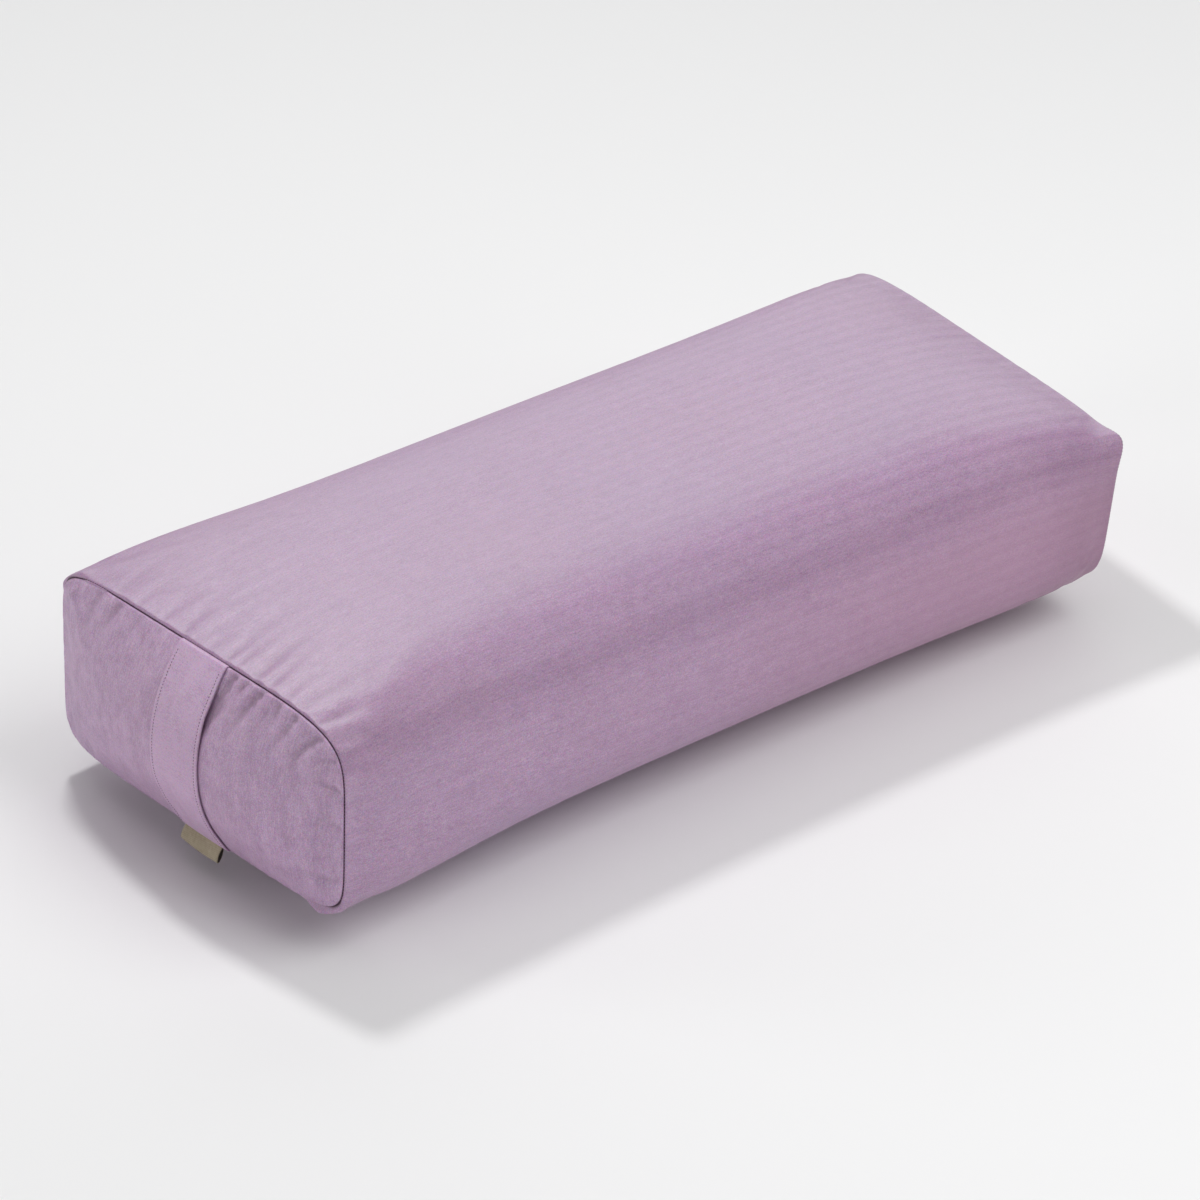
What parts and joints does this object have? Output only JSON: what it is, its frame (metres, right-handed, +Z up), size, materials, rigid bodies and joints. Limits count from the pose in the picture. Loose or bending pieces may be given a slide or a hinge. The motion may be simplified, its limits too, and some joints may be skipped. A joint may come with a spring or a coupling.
{
  "type": "rectangular yoga bolster",
  "caption": "Rectangular stuffed yoga bolster with a removable zipped cotton cover, crowned end panels, a fabric carry handle and a folded side label.",
  "frame": {"origin": "middle of the bolster's footprint, on the floor", "axes": "+Z up, X along the bolster with the handle and label end at -X, the zip on the +Y side"},
  "size_m": [0.6599, 0.2564, 0.16],
  "materials": {
    "cover_cloth": "matte herringbone cotton, lavender",
    "handle_cloth": "matte herringbone cotton, lavender",
    "label_tape": "matte flax-coloured woven tape",
    "zip_tape": "matte woven tape",
    "zip_coil": "satin nylon",
    "zip_metal": "satin nickel",
    "bag_cloth": "matte undyed calico",
    "wadding": "matte fibre wadding",
    "foam": "open-cell foam"
  },
  "bodies": {
    "bolster": {"cover_wrap_panel": "cover_cloth", "cover_end_panel_handle_side": "cover_cloth", "cover_end_panel_plain_side": "cover_cloth", "handle_upper_end": "handle_cloth", "handle_lower_end": "handle_cloth", "zip_tape_upper": "zip_tape", "zip_tape_lower": "zip_tape", "zip_coil_upper": "zip_coil", "zip_coil_lower": "zip_coil", "zip_top_stop_upper": "zip_metal", "zip_top_stop_lower": "zip_metal", "zip_bottom_stop": "zip_metal", "inner_bag_wrap_panel": "bag_cloth", "inner_bag_end_panel_handle_side": "bag_cloth", "inner_bag_end_panel_plain_side": "bag_cloth", "wadding_wrap": "wadding", "wadding_pad_handle_side": "wadding", "wadding_pad_plain_side": "wadding", "foam_block": "foam"},
    "handle": {"handle_grip": "handle_cloth"},
    "label": {"side_label": "label_tape"},
    "slider": {"zip_slider": "zip_metal"},
    "pull": {"zip_pull": "zip_metal"}
  },
  "joints": [
    {"name": "handle_lift", "type": "slide", "parent": "bolster", "child": "handle", "axis": [-1, 0, 0], "range_m": [0, 0.022]},
    {"name": "label_swing", "type": "hinge", "parent": "bolster", "child": "label", "pos_m": [-0.30575, -0.008, 0.0229], "axis": [0, 1, 0], "range_deg": [-10, 45]},
    {"name": "zip_travel", "type": "slide", "parent": "bolster", "child": "slider", "axis": [-1, 0, 0], "range_m": [0, 0.469]},
    {"name": "pull_swing", "type": "hinge", "parent": "slider", "child": "pull", "pos_m": [0.23495, 0.1279, 0.076], "axis": [0, 0, -1], "range_deg": [0, 165]}
  ]
}
